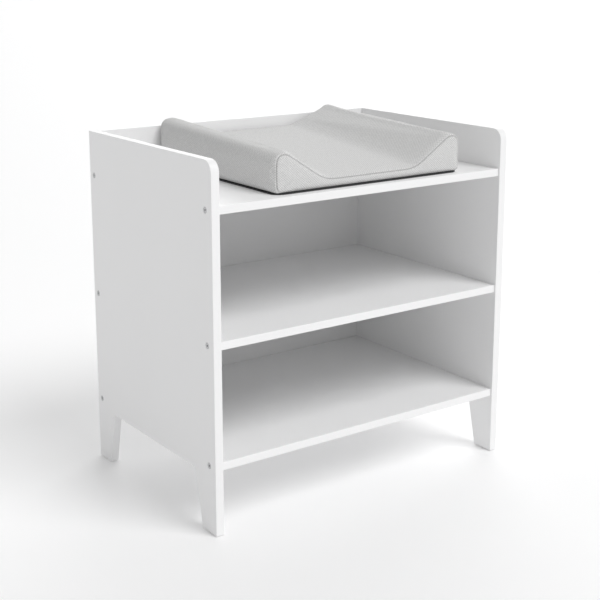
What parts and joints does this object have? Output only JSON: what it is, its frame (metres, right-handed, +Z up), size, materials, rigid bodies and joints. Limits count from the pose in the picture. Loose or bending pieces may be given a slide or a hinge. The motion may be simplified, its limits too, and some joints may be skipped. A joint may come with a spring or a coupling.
{
  "type": "changing table",
  "caption": "White open-front changing table: slab sides cut into tapered legs, fixed shelves, a rear rail and a loose contoured changing pad with raised sides.",
  "frame": {"origin": "middle of the footprint, on the floor under the glides", "axes": "+X to the right as seen from the open front, +Y to the back, +Z up"},
  "size_m": [0.912, 0.606, 0.9242],
  "materials": {
    "lacquered_board": "satin white lacquer on medium-density fibreboard",
    "back_board": "matt white painted hardboard",
    "zinc_steel": "zinc-plated steel, satin",
    "beech": "plain ribbed beech",
    "glide_plastic": "moulded matt plastic",
    "pad_fabric": "light grey fine knit",
    "pad_foam": "open-cell cushion foam",
    "grip_sheet": "dark dotted anti-slip sheet"
  },
  "bodies": {
    "carcass": {"left_side_panel": "lacquered_board", "right_side_panel": "lacquered_board", "changing_shelf": "lacquered_board", "middle_shelf": "lacquered_board", "bottom_shelf": "lacquered_board", "back_rail": "lacquered_board", "back_panel": "back_board", "bolt_left_top_front": "zinc_steel", "bolt_left_top_back": "zinc_steel", "bolt_left_middle_front": "zinc_steel", "bolt_left_middle_back": "zinc_steel", "bolt_left_bottom_front": "zinc_steel", "bolt_left_bottom_back": "zinc_steel", "bolt_right_top_front": "zinc_steel", "bolt_right_top_back": "zinc_steel", "bolt_right_middle_front": "zinc_steel", "bolt_right_middle_back": "zinc_steel", "bolt_right_bottom_front": "zinc_steel", "bolt_right_bottom_back": "zinc_steel", "barrel_nut_left_top_front": "zinc_steel", "barrel_nut_left_top_back": "zinc_steel", "barrel_nut_left_middle_front": "zinc_steel", "barrel_nut_left_middle_back": "zinc_steel", "barrel_nut_left_bottom_front": "zinc_steel", "barrel_nut_left_bottom_back": "zinc_steel", "barrel_nut_right_top_front": "zinc_steel", "barrel_nut_right_top_back": "zinc_steel", "barrel_nut_right_middle_front": "zinc_steel", "barrel_nut_right_middle_back": "zinc_steel", "barrel_nut_right_bottom_front": "zinc_steel", "barrel_nut_right_bottom_back": "zinc_steel", "dowel_left_top": "beech", "dowel_left_middle": "beech", "dowel_left_bottom": "beech", "dowel_right_top": "beech", "dowel_right_middle": "beech", "dowel_right_bottom": "beech", "rail_dowel_left": "beech", "rail_dowel_right": "beech", "rail_screw_left": "zinc_steel", "rail_screw_right": "zinc_steel", "back_screw_top_left": "zinc_steel", "back_screw_top_centre": "zinc_steel", "back_screw_top_right": "zinc_steel", "back_screw_middle_left": "zinc_steel", "back_screw_middle_centre": "zinc_steel", "back_screw_middle_right": "zinc_steel", "back_screw_bottom_left": "zinc_steel", "back_screw_bottom_centre": "zinc_steel", "back_screw_bottom_right": "zinc_steel", "glide_left_front": "glide_plastic", "glide_left_back": "glide_plastic", "glide_right_front": "glide_plastic", "glide_right_back": "glide_plastic"},
    "changing_pad": {"pad_core": "pad_foam", "pad_cover": "pad_fabric", "pad_grip_sheet": "grip_sheet"}
  },
  "joints": [
    {"name": "pad_lift", "type": "slide", "parent": "carcass", "child": "changing_pad", "axis": [0, 0, 1], "range_m": [0, 0.15]}
  ]
}
